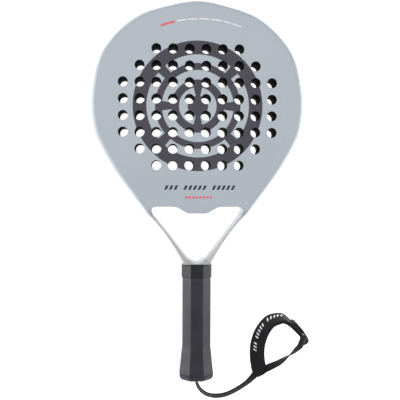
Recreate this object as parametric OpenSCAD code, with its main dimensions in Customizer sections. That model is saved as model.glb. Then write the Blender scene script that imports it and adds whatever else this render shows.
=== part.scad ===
// Padel racket with a perforated face, an open throat and a padded wrist strap.
// It lies on its back face. X runs across the head, Y from the butt to the tip, Z up from the table.
// The origin is under the middle of the racket, on the table. All sizes are in millimetres.

/* [Racket] */
// Overall length, from the tip to the butt
racket_length = 453; // [448:1:462]
// Thickness from face to face
racket_thickness = 38; // [35:1:38]

/* [Frame] */
// Width of the carbon tube around the head
tube_width = 15; // [13:0.5:17]
// Width of the rounded shoulder on the outer side of the tube
shoulder_width = 6.5; // [5:0.5:8]
// Wall of the carbon tube
tube_wall = 1.6; // [1.2:0.1:2]

/* [Face] */
// Thickness of each face sheet
skin_thickness = 0.8; // [0.5:0.1:1.2]
// Radius of the dark inlay in the middle of each face
inlay_radius = 76; // [70:1:80]
// Diameter of the drilled holes
hole_diameter = 11.6; // [9:0.1:13]
// Distance between neighbouring holes, both ways
hole_pitch = 19.4; // [18:0.1:20]
// Height of the hole pattern's centre above the racket's middle
hole_centre_y = 99.5; // [97:0.5:102]

/* [Handle] */
// Full width of the grip
grip_width = 34; // [34:0.1:37]
// Full thickness of the grip
grip_thickness = 31; // [29:0.5:33]
// Width of the grip's front facet
grip_facet = 14.6; // [12:0.1:16]
// Full width of the flare at the butt
flare_width = 41.4; // [40:0.1:44]
// Thickness of the grip's sleeve
grip_wall = 2.2; // [1.5:0.1:3]
// Number of ribs on the rubber collar
collar_ribs = 5; // [4:1:6]

/* [Strap] */
// Width of the strap's webbing
webbing_width = 10; // [8:0.5:12]
// Thickness of the webbing
webbing_thickness = 1.5; // [1.2:0.1:2]
// Width of the padded wrist band
pad_width = 18.6; // [16:0.1:24]
// Thickness of the padded wrist band
pad_thickness = 4.4; // [4:0.2:5]
// Width of the fastening tab
tab_width = 14; // [12:0.5:16]
// Thickness of the fastening tab
tab_thickness = 1.5; // [1.2:0.1:2]

/* [Hidden] */
$fn = 64;

half_thickness = racket_thickness / 2;
tip_y = racket_length / 2;
butt_y = -racket_length / 2;
// The right half of the head's outline, from the tip to where the arm meets the handle.
outline_knots = [
    [0, tip_y], [46, 217.6], [74.2, 206], [100.4, 183.6], [118.2, 155], [126.5, 112], [124, 76.5],
    [116, 54.8], [99.4, 26], [81, 0], [61.2, -25], [47.4, -39.3], [32.4, -60], [17.8, -85]
];
samples_per_span = 4;
// Width of the tube down the arms, as [y, width] pairs.
arm_widths = [
    [-85, 9.6], [-74, 7.6], [-60, 5.9], [-46, 4.8], [-38, 4.5], [-28, 4.8], [-18, 9], [-8, tube_width]
];
// Half the tube's height towards the handle, as [y, half height] pairs.
arm_half_heights = [[-85, 16], [-60, half_thickness]];
face_end_y = -19;
// The bridge reaches down the arms' inner sides to this height.
bridge_reach_y = -38;
arm_shoulder = 2.2;
bridge_top_y = -6;
bridge_bottom_y = -17.2;
tongue_y = -25.2;
throat_corner_radius = 5;
throat_corner = [48.9, bridge_bottom_y - throat_corner_radius];
throat_bottom_y = -84.8;
throat_radius = 9.5;
yoke_half_width = 15.5;
yoke_half_height = 16;
handle_top_y = -86;
shaft_top_y = -92;
shaft_end_y = -219;
foam_end_y = -205;
collar_length = 15;
collar_half_width = 18.4;
collar_bottom_y = handle_top_y - 0.9 - collar_length;
flare_start_y = -186;
flare_widest_y = -216;
cap_top_y = -220.2;
hidden_gap = 0.1;
moving_gap = 0.35;

function mirror_x(p) = [-p[0], p[1]];
function spline(a, b, c, d, t) =
    0.5 * (2 * b + (c - a) * t + (2 * a - 5 * b + 4 * c - d) * t * t + (3 * b - a - 3 * c + d) * t * t * t);
// A smooth path through its knots, with n samples in each span.
function smooth_path(knots, first, last, n) =
    let (all = concat([first], knots, [last]))
    concat(
        [
            for (i = [1:len(all) - 3])
                for (k = [0:n - 1])
                    spline(all[i - 1], all[i], all[i + 1], all[i + 2], k / n)
        ],
        [knots[len(knots) - 1]]
    );

right_half = smooth_path(outline_knots, mirror_x(outline_knots[1]), [4, -109], samples_per_span);
half_count = len(right_half);
// The whole outline, from the left arm's end round the tip to the right arm's end.
outline = concat(
    [for (i = [half_count - 1:-1:1]) mirror_x(right_half[i])],
    right_half
);
ring_count = len(outline);

function unit(v) = v / norm(v);
function direction(path, i) = unit(path[min(i + 1, len(path) - 1)] - path[max(i - 1, 0)]);
function inward(i) = let (d = direction(outline, i)) [d[1], -d[0]];
function inset(i, distance) = outline[i] + inward(i) * distance;
function width_at(i) = lookup(outline[i][1], arm_widths);
function half_height_at(i) = lookup(outline[i][1], arm_half_heights);
function on_head(i) = outline[i][1] > face_end_y;
function on_bridge(i) = outline[i][1] > bridge_reach_y;
function shoulder_at(i) = on_head(i) ? shoulder_width : on_bridge(i) ? arm_shoulder : width_at(i) / 2;

// A closed solid through rings of the same number of points.
module loft(rings) {
    count = len(rings);
    sides = len(rings[0]);
    walls = [
        for (i = [0:count - 2]) for (k = [0:sides - 1])
            let (n = (k + 1) % sides)
            each [
                [i * sides + k, i * sides + n, (i + 1) * sides + n],
                [i * sides + k, (i + 1) * sides + n, (i + 1) * sides + k]
            ]
    ];
    first_cap = [[for (k = [sides - 1:-1:0]) k]];
    last_cap = [[for (k = [0:sides - 1]) (count - 1) * sides + k]];
    points = [for (r = rings) each r];
    polyhedron(points = points, faces = concat(first_cap, walls, last_cap), convexity = 10);
}

// The tube's section: an elliptical outer side, then a rebate for the face sheets on the head. Beside the
// bridge the inner side is flat, and below it the arm is a full ellipse.
function tube_section(i) =
    let (w = width_at(i), h = half_height_at(i), s = shoulder_at(i), rebate = h - skin_thickness)
    concat(
        [for (a = [90:-22.5:-90]) [s * (1 - cos(a)), h * sin(a)]],
        on_head(i)
            ? [[s, -rebate], [w, -rebate], [w, rebate], [s, rebate]]
            : on_bridge(i)
                ? [[w - 1.4, -h], [w, 3.5 - h], [w, h - 3.5], [w - 1.4, h]]
                : [for (a = [-60, -22, 22, 60]) [w / 2 * (1 + cos(a)), h * sin(a)]]
    );
function cavity_section(i) =
    let (
        w = on_bridge(i) ? width_at(i) - tube_wall : width_at(i) * 0.72,
        h = half_height_at(i) - 1.6 * tube_wall,
        s = on_bridge(i) ? 0.75 * tube_wall + shoulder_at(i) / 2 : width_at(i) * 0.3 + 0.9
    )
    [[tube_wall, h / 3], [tube_wall, -h / 3], [s, -h], [w, -h], [w, h], [s, h]];
function stand_up(i, section) =
    [for (p = section) let (q = inset(i, p[0])) [q[0], q[1], half_thickness + p[1]]];

module tube_cavity() {
    loft([for (i = [2:ring_count - 3]) stand_up(i, cavity_section(i))]);
}

module frame_tube() {
    color([0.78, 0.80, 0.82])
    difference() {
        loft([for (i = [0:ring_count - 1]) stand_up(i, tube_section(i))]);
        tube_cavity();
    }
}

module frame_foam() {
    color([0.9, 0.88, 0.8]) tube_cavity();
}

// Everything inside the tube, seen from above.
module inner_plan() {
    polygon([for (i = [0:ring_count - 1]) inset(i, width_at(i))]);
}

module above(y) {
    translate([-racket_length, y]) square([2 * racket_length, racket_length]);
}

// The throat's right edge from the tongue outwards, with a rounded top corner.
throat_edge = concat(
    [[9.5, tongue_y], [12.6, -24.5], [22.8, -18.6], [26.2, -17.5], [30, bridge_bottom_y]],
    [for (a = [90:-26.2:-41]) throat_corner + throat_corner_radius * [cos(a), sin(a)]],
    [[80, -60], [80, -100]]
);
module throat_plan() {
    polygon(concat(throat_edge, [for (i = [len(throat_edge) - 1:-1:0]) mirror_x(throat_edge[i])]));
}

module slab(bottom, top) {
    translate([0, 0, bottom]) linear_extrude(top - bottom) children();
}

module throat_bridge() {
    color([0.71, 0.74, 0.78])
    slab(skin_thickness, racket_thickness - skin_thickness)
    difference() {
        inner_plan();
        throat_plan();
        above(bridge_top_y);
    }
}

module throat_yoke() {
    color([0.78, 0.80, 0.82])
    slab(half_thickness - yoke_half_height, half_thickness + yoke_half_height)
    difference() {
        polygon([
            outline[0], inset(0, width_at(0)), inset(ring_count - 1, width_at(0)), outline[ring_count - 1],
            [yoke_half_width, handle_top_y], [-yoke_half_width, handle_top_y]
        ]);
        translate([0, throat_bottom_y + throat_radius]) circle(throat_radius);
    }
}

module drilled(bottom, top) {
    difference() {
        slab(bottom, top) children();
        for (row = [0:7]) {
            reach = row == 0 || row == 7 ? 2.5 : row == 1 || row == 6 ? 3.5 : 4.5;
            for (column = [-reach:1:reach])
                translate([column * hole_pitch, hole_centre_y + (row - 3.5) * hole_pitch, bottom - 1])
                    cylinder(d = hole_diameter, h = top - bottom + 2);
        }
    }
}

module eva_core() {
    color([0.12, 0.12, 0.13])
    drilled(skin_thickness, racket_thickness - skin_thickness)
    intersection() {
        inner_plan();
        above(bridge_top_y);
    }
}

// The face sheet reaches from shoulder to shoulder and down over the bridge.
module skin_plan() {
    head = [for (i = [0:ring_count - 1]) if (on_head(i)) i];
    throat_rings = [for (i = [0:ring_count - 1]) if (!on_head(i) && outline[i][1] > bridge_reach_y) i];
    left_rings = [for (i = throat_rings) if (i < head[0]) i];
    right_rings = [for (i = throat_rings) if (i > head[0]) i];
    last = head[len(head) - 1];
    difference() {
        polygon(concat(
            [for (i = head) inset(i, shoulder_width)],
            [for (i = concat([last], right_rings)) inset(i, width_at(i))],
            [for (i = concat(left_rings, [head[0]])) inset(i, width_at(i))]
        ));
        throat_plan();
        inlay_plan();
    }
}

module inlay_plan() {
    translate([0, hole_centre_y + 1.4]) circle(inlay_radius, $fn = 128);
}

module front_skin() {
    color([0.71, 0.74, 0.78])
    drilled(racket_thickness - skin_thickness, racket_thickness) skin_plan();
}

module back_skin() {
    color([0.71, 0.74, 0.78]) drilled(0, skin_thickness) skin_plan();
}

module front_inlay() {
    color([0.29, 0.29, 0.31])
    drilled(racket_thickness - skin_thickness, racket_thickness) inlay_plan();
}

module back_inlay() {
    color([0.29, 0.29, 0.31]) drilled(0, skin_thickness) inlay_plan();
}

// An octagon with a flat front and back facet.
function octagon(half_width, half_height, half_facet) =
    let (side = half_height - (half_width - half_facet) * 0.82)
    [
        [half_facet, half_height], [half_width, side], [half_width, -side], [half_facet, -half_height],
        [-half_facet, -half_height], [-half_width, -side], [-half_width, side], [-half_facet, half_height]
    ];

module along_handle(from_y, to_y) {
    translate([0, from_y, half_thickness]) rotate([90, 0, 0]) linear_extrude(from_y - to_y) children();
}

shaft_half_width = grip_width / 2 - grip_wall;
shaft_half_height = grip_thickness / 2 - grip_wall;
shaft_half_facet = grip_facet / 2 - grip_wall * 0.4;

module shaft_plan(margin) {
    polygon(octagon(shaft_half_width + margin, shaft_half_height + margin, shaft_half_facet + margin * 0.4));
}

module handle_shaft() {
    color([0.2, 0.2, 0.22])
    difference() {
        along_handle(handle_top_y, shaft_end_y) shaft_plan(0);
        along_handle(shaft_top_y, shaft_end_y - 1) shaft_plan(-2);
    }
}

module handle_foam() {
    color([0.9, 0.88, 0.8]) along_handle(shaft_top_y - hidden_gap, foam_end_y) shaft_plan(-2 - hidden_gap);
}

module grip_collar() {
    rib = collar_length / (2 * collar_ribs + 1);
    rib_height = collar_half_width - shaft_half_width - 1;
    color([0.17, 0.17, 0.2])
    difference() {
        union() {
            along_handle(handle_top_y - 0.9, collar_bottom_y) shaft_plan(rib_height);
            for (k = [0:collar_ribs])
                along_handle(handle_top_y - 0.9 - 2 * k * rib, handle_top_y - 0.9 - (2 * k + 1) * rib)
                    shaft_plan(rib_height + 1);
        }
        along_handle(handle_top_y + 1, collar_bottom_y - 1) shaft_plan(hidden_gap);
    }
}

// Half the grip's extra width along the handle, as [y, width] pairs.
flare_profile = [
    [butt_y, 0.5], [-225.5, 1.9], [-223, 3], [-219.5, 3.5], [flare_widest_y, 3.3],
    [-208, 2.2], [-200, 1.6], [-192, 0.7], [flare_start_y, 0]
];
flare_scale = (flare_width - grip_width) / 7;
function flared_ring(y) =
    let (extra = lookup(y, flare_profile) * flare_scale)
    [
        for (
            p = octagon(grip_width / 2 + extra, grip_thickness / 2 + extra * 0.8, grip_facet / 2 + extra * 0.4)
        )
            [p[0], y, half_thickness + p[1]]
    ];

module hand_grip() {
    top_y = collar_bottom_y - hidden_gap;
    end_y = cap_top_y + 2 * hidden_gap;
    color([0.25, 0.25, 0.29])
    difference() {
        loft([
            for (y = [top_y, -140, flare_start_y, -192, -200, -208, flare_widest_y, end_y])
                flared_ring(y)
        ]);
        along_handle(top_y + 1, end_y - 1) shaft_plan(hidden_gap);
    }
}

module strap_slot() {
    translate([0, shaft_end_y, half_thickness]) cube([3, 40, webbing_width + 1.5], center = true);
}

module butt_cap() {
    color([0.22, 0.22, 0.25])
    difference() {
        union() {
            loft([for (y = [cap_top_y, -223, -225.5, butt_y]) flared_ring(y)]);
            along_handle(shaft_end_y - hidden_gap, cap_top_y - 1) shaft_plan(0);
        }
        strap_slot();
    }
}

// The strap's end is knotted inside the hollow end of the shaft.
module strap_knot() {
    color([0.1, 0.1, 0.11])
    union() {
        translate([0, -213, half_thickness]) sphere(d = 13);
        translate([-webbing_thickness / 2, butt_y + 0.3, half_thickness - webbing_width / 2])
            cube([webbing_thickness, 14, webbing_width]);
    }
}

// Each strap route lists [x, y, tilt]. Tilt is the webbing's angle from flat, in degrees, and
// the left edge is up where it is positive. The lower edge lies on the table.
tail_route = [
    [0, -227.3, 90], [0.6, -231, 88], [3, -238.5, 78], [7, -245, 66], [12.5, -250.2, 54], [19, -253.4, 46],
    [26, -254.6, 42], [36, -253.4, 42], [46, -249.6, 42], [56, -244, 42], [65, -237.9, 38],
    [70.6, -232.9, 28], [74, -229.6, 18]
];
// Height of the tail's middle where it comes down from the butt to the table.
tail_drop = [[0, 19], [0.6, 18.4], [3, 14.4], [7, 10.4], [12.5, 7.4], [19, 5.2], [26, 0]];
pad_route = [
    [80.6, -224.8, 0], [78.8, -217, 0], [77.5, -208, 0], [77.2, -198, -4], [78.2, -188, -12],
    [81, -177.6, -26], [85.9, -168, -38], [92.4, -160.6, -47], [99.9, -157.5, -57], [107.2, -156.5, -68],
    [113, -159.3, -77], [118.1, -163.8, -83], [123, -168.9, -86], [128.1, -174.6, -87], [130.2, -177.2, -86]
];
return_route = [
    [130.9, -178.3, -84], [132.9, -184.9, -48], [131.5, -192.5, -30], [126.5, -197.5, -40],
    [121.1, -201.9, -58], [115.1, -206, -80], [109.7, -209.8, -98], [103.5, -213.8, -113],
    [96.4, -217.2, -124], [91.2, -219.6, -127]
];

function spread(route, n) =
    let (last = len(route) - 1)
    smooth_path(route, 2 * route[0] - route[1], 2 * route[last] - route[last - 1], n);
function flat_point(p) = [p[0], p[1]];
function rest_height(tilt, half_w, half_t) = half_w * abs(sin(tilt)) + half_t * abs(cos(tilt)) + hidden_gap;
function route_height(p, half_w, half_t) =
    max(rest_height(p[2], half_w, half_t), p[0] < 26 ? lookup(p[0], tail_drop) : 0);
function route_tangent(path, i) = direction([for (p = path) flat_point(p)], i);
// The unit vectors across the band and out of its upper side.
function across(path, i) =
    let (t = route_tangent(path, i), a = path[i][2])
    [-t[1] * cos(a), t[0] * cos(a), sin(a)];
function out_of(path, i) =
    let (t = route_tangent(path, i), a = path[i][2])
    [t[1] * sin(a), -t[0] * sin(a), cos(a)];
function band_ring(centre, u, v, half_w, half_t) =
    let (c = min(half_t, half_w) * 0.5)
    [
        for (p = [
            [half_w, half_t - c], [half_w, c - half_t], [half_w - c, -half_t], [c - half_w, -half_t],
            [-half_w, c - half_t], [-half_w, half_t - c], [c - half_w, half_t], [half_w - c, half_t]
        ])
        centre + u * p[0] + v * p[1]
    ];

// A band along a route. The layer is moved by lift out of the route's own surface and by side across it.
module band(path, base_w, base_t, width, thickness, side, lift) {
    loft([
        for (i = [0:len(path) - 1])
            let (
                p = path[i],
                u = across(path, i),
                v = out_of(path, i),
                middle = [p[0], p[1], route_height(p, base_w / 2, base_t / 2)]
            )
            band_ring(middle + u * side + v * lift, u, v, width / 2, thickness / 2)
    ]);
}

function part_of(path, from, to) = [for (i = [from:to]) path[i]];

tail_path = spread(tail_route, 3);
pad_path = spread(pad_route, 3);
return_path = spread(return_route, 3);
binding_width = 1.8;
pad_body_width = pad_width - 2 * binding_width - 2 * hidden_gap;
layer_thickness = (pad_thickness - hidden_gap) / 2;
layer_lift = (layer_thickness + hidden_gap) / 2;
patch_thickness = 0.8;
patch_first = 32;
patch_last = len(pad_path) - 2;
loop_lift = pad_thickness / 2 + hidden_gap + patch_thickness / 2;
hook_lift = loop_lift + patch_thickness + moving_gap;
tab_lift = hook_lift + patch_thickness / 2 + hidden_gap + tab_thickness / 2;
tab_first = 32;

module strap_tail() {
    color([0.1, 0.1, 0.11])
    band(tail_path, webbing_width, webbing_thickness, webbing_width, webbing_thickness, 0, 0);
}

module wrist_pad() {
    color([0.12, 0.12, 0.14])
    band(pad_path, pad_width, pad_thickness, pad_body_width, layer_thickness, 0, layer_lift);
}

module pad_lining() {
    color([0.16, 0.16, 0.17])
    band(pad_path, pad_width, pad_thickness, pad_body_width, layer_thickness, 0, -layer_lift);
}

module pad_binding() {
    reach = (pad_width - binding_width) / 2;
    color([0.1, 0.1, 0.11])
    for (side = [-1, 1])
        band(pad_path, pad_width, pad_thickness, binding_width, pad_thickness, side * reach, 0);
}

module loop_patch() {
    patch_path = part_of(pad_path, patch_first, patch_last);
    color([0.08, 0.08, 0.09])
    band(patch_path, pad_width, pad_thickness, tab_width, patch_thickness, 0, loop_lift);
}

module strap_return() {
    color([0.1, 0.1, 0.11])
    band(return_path, webbing_width, webbing_thickness, webbing_width, webbing_thickness, 0, 0);
}

// The folded end piece that joins the tail to the pad's lower end, sewn through with two bar tacks.
module strap_keeper() {
    color([0.1, 0.1, 0.11])
    slab(hidden_gap, hidden_gap + pad_thickness)
        polygon([
            [72.4, -227.15], [89.7, -222.9], [91.6, -222.8], [91, -224.8], [84.6, -229.4], [77.4, -232.6]
        ]);
}

tack_width = 1.2;
tack_thickness = 0.5;
module bar_tacks() {
    color([0.2, 0.2, 0.22])
    for (tack = [[-226.8, 9], [-229.2, 6]])
        translate([80, tack[0], pad_thickness + 2 * hidden_gap + tack_thickness / 2])
            cube([tack[1], tack_width, tack_thickness], center = true);
}

// The tab follows the pad's outer side and runs a little past its end.
tab_end = [[133.3, -182.7, -60], [134.7, -190.2, -28]];
tab_path = concat(part_of(pad_path, tab_first, len(pad_path) - 1), tab_end);

module fastening_tab() {
    color([0.1, 0.1, 0.11])
    band(tab_path, pad_width, pad_thickness, tab_width, tab_thickness, 0, tab_lift);
}

module hook_patch() {
    color([0.08, 0.08, 0.09])
    band(part_of(tab_path, 2, 7), pad_width, pad_thickness, tab_width - 2, patch_thickness, 0, hook_lift);
}

frame_tube();
frame_foam();
throat_bridge();
throat_yoke();
eva_core();
front_skin();
back_skin();
front_inlay();
back_inlay();
handle_shaft();
handle_foam();
grip_collar();
hand_grip();
butt_cap();
strap_knot();
strap_tail();
wrist_pad();
pad_lining();
pad_binding();
loop_patch();
strap_keeper();
bar_tacks();
strap_return();
fastening_tab();
hook_patch();
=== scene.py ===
"""Padel racket with a drilled face, an open throat, a facetted grip and a padded wrist strap."""

import math

import bmesh
import bpy
from bpy.props import FloatProperty, FloatVectorProperty, PointerProperty
from mathutils import Euler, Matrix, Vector
from mathutils.geometry import delaunay_2d_cdt


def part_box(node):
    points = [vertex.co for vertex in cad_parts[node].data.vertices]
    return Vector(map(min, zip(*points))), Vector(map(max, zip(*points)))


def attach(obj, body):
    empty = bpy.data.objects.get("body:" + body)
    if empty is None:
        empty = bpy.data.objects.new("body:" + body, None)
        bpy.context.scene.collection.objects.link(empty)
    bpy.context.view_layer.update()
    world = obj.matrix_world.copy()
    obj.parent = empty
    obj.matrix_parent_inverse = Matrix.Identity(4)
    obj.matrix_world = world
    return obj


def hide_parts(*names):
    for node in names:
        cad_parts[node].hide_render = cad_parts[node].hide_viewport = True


bl_info = {
    "name": "Padel Racket",
    "version": (1, 0, 0),
    "blender": (4, 5, 0),
    "location": "3D View > Sidebar > Racket",
    "description": "Builds a padel racket with its wrist strap on its packed frame",
    "category": "Object",
}

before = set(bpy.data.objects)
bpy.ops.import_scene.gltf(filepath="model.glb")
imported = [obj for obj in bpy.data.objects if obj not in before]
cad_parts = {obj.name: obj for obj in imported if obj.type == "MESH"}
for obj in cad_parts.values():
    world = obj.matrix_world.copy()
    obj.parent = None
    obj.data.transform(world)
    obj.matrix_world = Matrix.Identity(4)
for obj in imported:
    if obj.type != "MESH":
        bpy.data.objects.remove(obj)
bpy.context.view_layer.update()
MM = 0.001
MID_Z = (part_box("frame_tube")[0].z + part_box("frame_tube")[1].z) / 2
FACE_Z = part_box("front_skin")[1].z
BACK_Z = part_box("back_skin")[0].z
SKIN = FACE_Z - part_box("front_skin")[0].z
INLAY_LOW, INLAY_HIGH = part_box("front_inlay")
INLAY_CENTRE = (INLAY_LOW + INLAY_HIGH) / 2
INLAY_RADIUS = (INLAY_HIGH.x - INLAY_LOW.x) / 2
BUTT_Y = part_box("butt_cap")[0].y
COLLAR_TOP_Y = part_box("grip_collar")[1].y
COLLAR_BOTTOM_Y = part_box("grip_collar")[0].y


# ---------------------------------------------------------------- sizes and colours

class StageSettings(bpy.types.PropertyGroup):
    camera_x: FloatProperty(
        name="Camera X", description="Where the camera stands across the racket",
        default=-34.2 * MM, unit="LENGTH")
    camera_y: FloatProperty(
        name="Camera Y", description="Where the camera stands along the racket",
        default=15.1 * MM, unit="LENGTH")
    camera_height: FloatProperty(
        name="Camera height", description="Height of the camera above the table",
        default=741.9 * MM, unit="LENGTH")
    lens: FloatProperty(
        name="Lens", description="Focal length of the camera in millimetres", default=54.0, min=10.0)
    floor_size: FloatProperty(
        name="Floor size", description="Side of the square floor", default=40.0, unit="LENGTH")


class HeadSettings(bpy.types.PropertyGroup):
    hole_diameter: FloatProperty(
        name="Hole diameter", description="Diameter of the holes in the face",
        default=11.6 * MM, unit="LENGTH")
    hole_pitch: FloatProperty(
        name="Hole pitch", description="Distance between neighbouring holes",
        default=19.4 * MM, unit="LENGTH")
    hole_edge: FloatProperty(
        name="Hole edge", description="Radius of the lacquer over the edge of a hole",
        default=0.35 * MM, unit="LENGTH")
    shoulder: FloatProperty(
        name="Shoulder", description="Width of the rounded shoulder round the head",
        default=6.5 * MM, unit="LENGTH")
    tube_width: FloatProperty(
        name="Tube width", description="Width of the tube round the head",
        default=15.0 * MM, unit="LENGTH")
    paint: FloatVectorProperty(
        name="Paint", description="Colour of the face", subtype="COLOR", default=(0.53, 0.58, 0.635))
    silver: FloatVectorProperty(
        name="Silver", description="Colour of the throat's arms",
        subtype="COLOR", default=(0.49, 0.50, 0.505))
    coral: FloatVectorProperty(
        name="Coral", description="Colour of the coral print",
        subtype="COLOR", default=(0.85, 0.155, 0.195))
    inlay: FloatVectorProperty(
        name="Inlay", description="Colour of the dark panel",
        subtype="COLOR", default=(0.080, 0.076, 0.096))


class HandleSettings(bpy.types.PropertyGroup):
    grip_width: FloatProperty(
        name="Grip width", description="Full width of the grip", default=34.0 * MM, unit="LENGTH")
    grip_thickness: FloatProperty(
        name="Grip thickness", description="Full thickness of the grip", default=31.0 * MM, unit="LENGTH")
    grip_facet: FloatProperty(
        name="Front facet", description="Width of the grip's front facet", default=14.6 * MM, unit="LENGTH")
    collar_width: FloatProperty(
        name="Collar width", description="Full width of the ribbed collar", default=36.8 * MM, unit="LENGTH")
    grip_colour: FloatVectorProperty(
        name="Grip", description="Colour of the grip", subtype="COLOR", default=(0.027, 0.027, 0.037))


class StrapSettings(bpy.types.PropertyGroup):
    webbing_width: FloatProperty(
        name="Webbing width", description="Width of the strap's webbing",
        default=10.0 * MM, unit="LENGTH")
    webbing_thickness: FloatProperty(
        name="Webbing thickness", description="Thickness of the webbing", default=1.5 * MM, unit="LENGTH")
    pad_width: FloatProperty(
        name="Pad width", description="Width of the padded wrist band", default=18.6 * MM, unit="LENGTH")
    pad_thickness: FloatProperty(
        name="Pad thickness", description="Thickness of the wrist band", default=4.4 * MM, unit="LENGTH")
    tab_width: FloatProperty(
        name="Tab width", description="Width of the fastening tab", default=14.0 * MM, unit="LENGTH")
    tab_thickness: FloatProperty(
        name="Tab thickness", description="Thickness of the fastening tab", default=1.5 * MM, unit="LENGTH")
    black: FloatVectorProperty(
        name="Black", description="Colour of the webbing",
        subtype="COLOR", default=(0.0065, 0.0065, 0.009))
    pad_black: FloatVectorProperty(
        name="Pad black", description="Colour of the wrist band",
        subtype="COLOR", default=(0.006, 0.006, 0.009))


# ---------------------------------------------------------------- curves and lofts

def lookup(x, table):
    """Straight-line interpolation in a table of (x, value) pairs in rising order of x."""
    if x <= table[0][0]:
        return table[0][1]
    for (x0, v0), (x1, v1) in zip(table, table[1:]):
        if x <= x1:
            return v0 + (v1 - v0) * (x - x0) / (x1 - x0)
    return table[-1][1]


def smooth_path(knots, samples):
    """A smooth line through its knots, which are lists of any length, with samples steps in each span."""
    knots = [Vector(k) for k in knots]
    ends = [2 * knots[0] - knots[1]] + knots + [2 * knots[-1] - knots[-2]]
    line = []
    for a, b, c, d in zip(ends, ends[1:], ends[2:], ends[3:]):
        for k in range(samples):
            t = k / samples
            line.append(0.5 * (2 * b + (c - a) * t + (2 * a - 5 * b + 4 * c - d) * t * t
                               + (3 * b - a - 3 * c + d) * t * t * t))
    return line + [knots[-1]]


def plan_normals(line):
    """The unit vectors to the right of a line in the XY plane."""
    normals = []
    for i in range(len(line)):
        step = line[min(i + 1, len(line) - 1)] - line[max(i - 1, 0)]
        normals.append(Vector((step.y, -step.x)).normalized())
    return normals


def new_piece(name, verts, faces, materials, body, face_slots=None, sharp=35.0):
    """A mesh object that rides on a body, shaded smooth except at edges sharper than an angle in degrees."""
    mesh = bpy.data.meshes.new(name)
    mesh.from_pydata([tuple(v) for v in verts], [], faces)
    for material in materials:
        mesh.materials.append(material)
    if face_slots:
        mesh.polygons.foreach_set("material_index", face_slots)
    mesh.polygons.foreach_set("use_smooth", [True] * len(mesh.polygons))
    mesh.update()
    mesh.set_sharp_from_angle(angle=math.radians(sharp))
    piece = bpy.data.objects.new(name, mesh)
    bpy.context.scene.collection.objects.link(piece)
    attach(piece, body)
    return piece


def outward(piece):
    """Turns every face of a closed piece outwards."""
    bm = bmesh.new()
    bm.from_mesh(piece.data)
    bmesh.ops.recalc_face_normals(bm, faces=bm.faces)
    bm.to_mesh(piece.data)
    bm.free()
    return piece


def flat_places(ring, order):
    """Places on a ring's own plane, in metres, for its points in an order."""
    middle = sum(ring, Vector()) / len(ring)
    u = (ring[0] - middle).normalized()
    normal = u.cross(ring[len(ring) // 4] - middle).normalized()
    v = normal.cross(u)
    return [((ring[k] - middle).dot(u), (ring[k] - middle).dot(v)) for k in order]


def lofts(name, ring_sets, material, body, sharp=35.0):
    """Closed solids, each lofted through its rings, with a UV map in metres round and along them."""
    verts, faces, places = [], [], []
    for rings in ring_sets:
        first, sides, along = len(verts), len(rings[0]), 0.0
        verts += [p for ring in rings for p in ring]
        around = [0.0]
        for k in range(sides):
            around.append(around[-1] + (rings[0][(k + 1) % sides] - rings[0][k]).length)
        for i in range(len(rings) - 1):
            step = (sum(rings[i + 1], Vector()) - sum(rings[i], Vector())).length / sides
            for k in range(sides):
                a, n = first + i * sides, (k + 1) % sides
                faces.append((a + k, a + n, a + sides + n, a + sides + k))
                places += [(around[k], along), (around[k + 1], along),
                           (around[k + 1], along + step), (around[k], along + step)]
            along += step
        for start, order in ((first, range(sides - 1, -1, -1)), (len(verts) - sides, range(sides))):
            faces.append(tuple(start + k for k in order))
            places += flat_places(verts[start:start + sides], order)
    piece = new_piece(name, verts, faces, [material], body, sharp=sharp)
    uv = piece.data.uv_layers.new(name="Along")
    for loop, place in zip(uv.data, places):
        loop.uv = place
    return outward(piece)


def loft(name, rings, material, body, sharp=35.0):
    """One closed solid through its rings."""
    return lofts(name, [rings], material, body, sharp)


def rounded_ring(corners, radius, steps):
    """The points of a polygon in the XY plane with its corners rounded."""
    ring = []
    count = len(corners)
    for i, corner in enumerate(corners):
        before = (corners[i - 1] - corner).normalized()
        after = (corners[(i + 1) % count] - corner).normalized()
        half = before.angle(after) / 2
        cut = min(radius / math.tan(half), 0.45 * (corners[i - 1] - corner).length)
        reach = cut * math.tan(half)
        centre = corner + (before + after).normalized() * (reach / math.sin(half))
        start, end = corner + before * cut - centre, corner + after * cut - centre
        for k in range(steps + 1):
            ring.append(centre + start.lerp(end, k / steps).normalized() * reach)
    return ring


# ---------------------------------------------------------------- shader helpers

def socket_group(name, inputs, outputs):
    """An empty node group with float, colour and vector sockets."""
    kinds = {"value": "NodeSocketFloat", "colour": "NodeSocketColor", "vector": "NodeSocketVector"}
    group = bpy.data.node_groups.new(name, "ShaderNodeTree")
    for label, kind, default in inputs:
        socket = group.interface.new_socket(name=label, in_out="INPUT", socket_type=kinds[kind])
        socket.default_value = default
    for label, kind in outputs:
        group.interface.new_socket(name=label, in_out="OUTPUT", socket_type=kinds[kind])
    return group, group.nodes.new("NodeGroupInput"), group.nodes.new("NodeGroupOutput")


def put(tree, value, socket):
    """Links a socket or sets a plain value."""
    if isinstance(value, bpy.types.NodeSocket):
        tree.links.new(value, socket)
    else:
        socket.default_value = value


def noise(tree, vector, scale, detail=3.0, roughness=0.5):
    node = tree.nodes.new("ShaderNodeTexNoise")
    node.inputs["Detail"].default_value = detail
    node.inputs["Roughness"].default_value = roughness
    tree.links.new(vector, node.inputs["Vector"])
    put(tree, scale, node.inputs["Scale"])
    return node.outputs["Fac"]


def arithmetic(tree, operation, a, b=0.0, clamp=False):
    node = tree.nodes.new("ShaderNodeMath")
    node.operation = operation
    node.use_clamp = clamp
    put(tree, a, node.inputs[0])
    put(tree, b, node.inputs[1])
    return node.outputs[0]


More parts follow.
